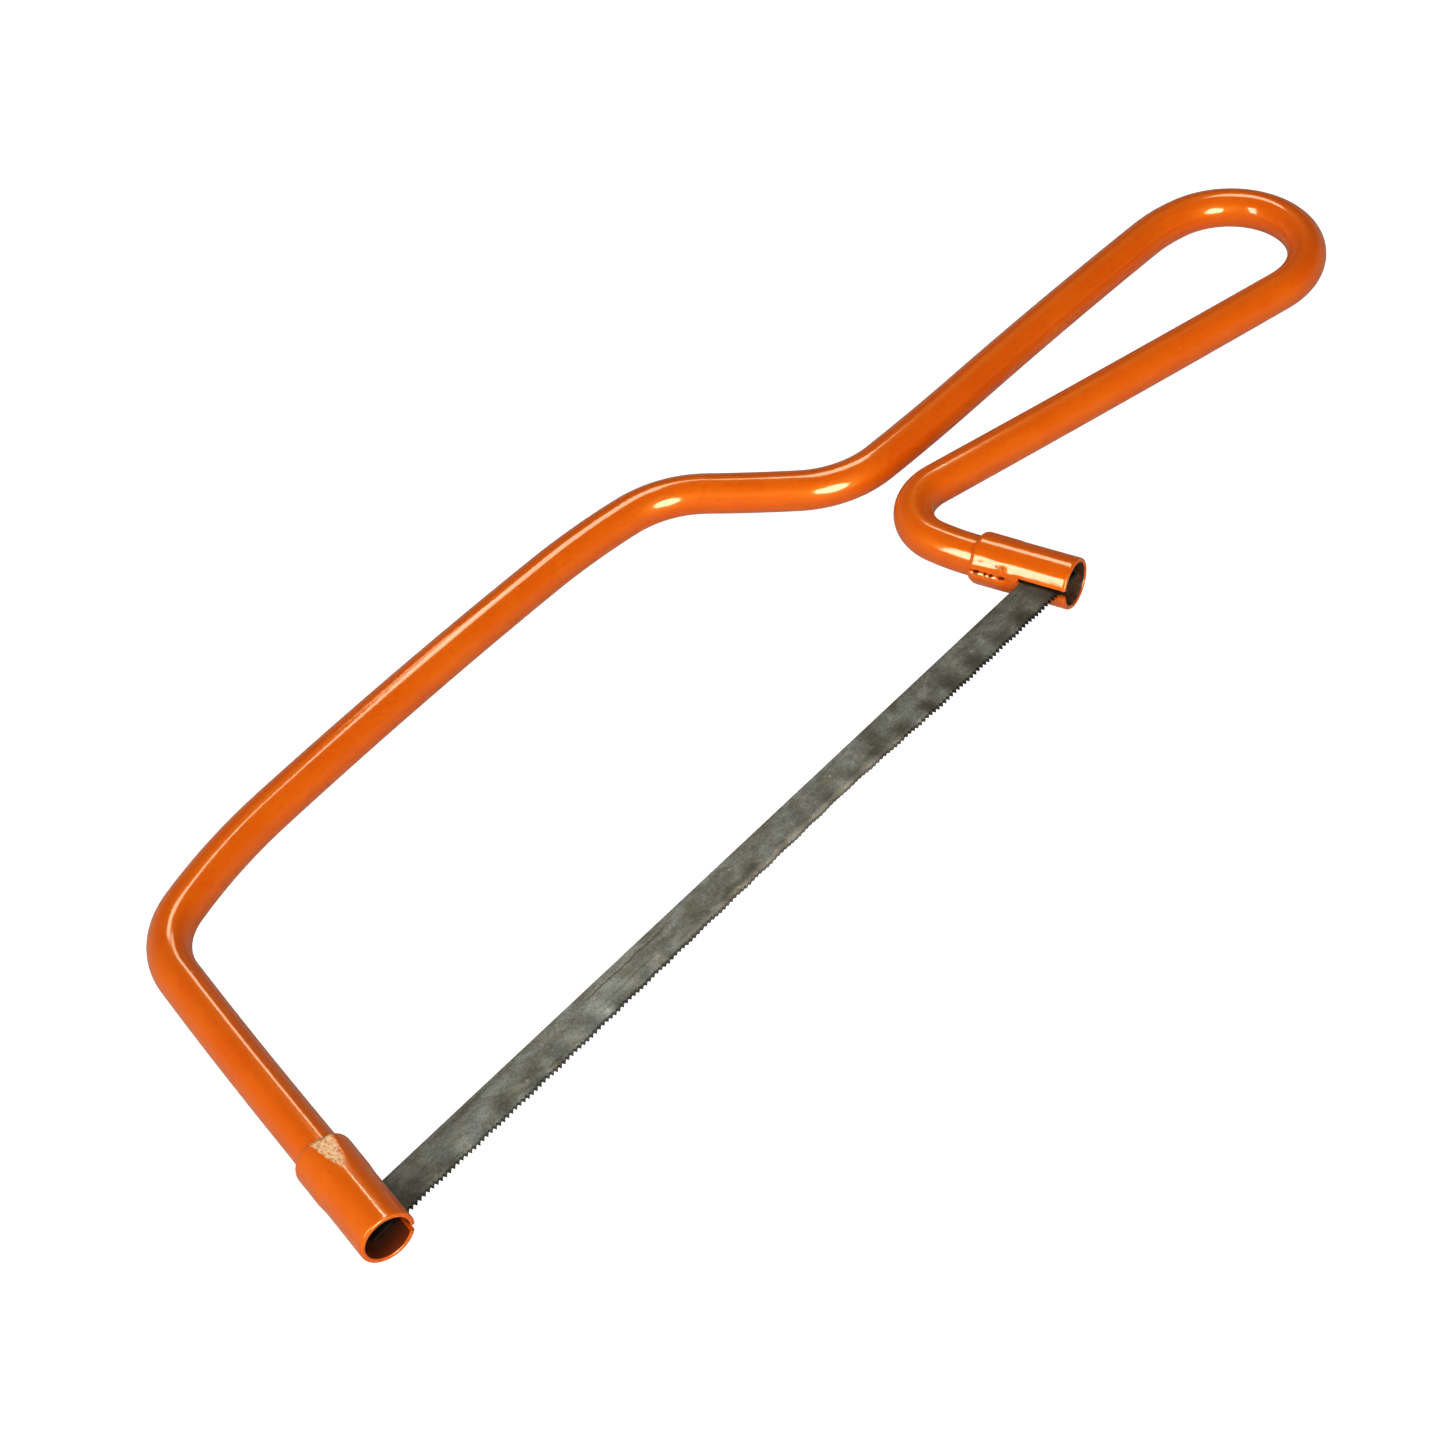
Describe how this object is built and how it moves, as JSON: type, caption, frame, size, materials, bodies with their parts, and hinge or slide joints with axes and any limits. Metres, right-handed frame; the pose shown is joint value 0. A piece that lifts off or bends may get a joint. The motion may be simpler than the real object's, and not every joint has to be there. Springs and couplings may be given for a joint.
{
  "type": "junior hacksaw",
  "caption": "Junior hacksaw: a bent rod spring frame with a looped handle, slotted sleeves at its two ends and a pinned fine-tooth blade held between them.",
  "frame": {"origin": "middle of the saw's bounding box; the middle of the blade, halfway between its two pins, is at X = -46.3 mm, Y = -33.0 mm", "axes": "+X along the blade from the front to the handle, +Y in the frame's plane from the blade to the back bar, +Z through the thickness"},
  "size_m": [0.2498, 0.0756, 0.0082],
  "materials": {
    "frame_paint": "gloss",
    "front_sleeve_paint": "gloss",
    "rear_sleeve_paint": "gloss",
    "blade_steel": "satin",
    "front_pin_steel": "satin",
    "rear_pin_steel": "satin"
  },
  "bodies": {
    "frame": {"frame_rod": "frame_paint", "front_sleeve": "front_sleeve_paint", "rear_sleeve": "rear_sleeve_paint"},
    "blade": {"blade": "blade_steel", "front_blade_pin": "front_pin_steel", "rear_blade_pin": "rear_pin_steel"}
  },
  "joints": [
    {"name": "blade_lift_out", "type": "slide", "parent": "frame", "child": "blade", "axis": [0, -1, 0], "range_m": [0, 0.025]}
  ]
}
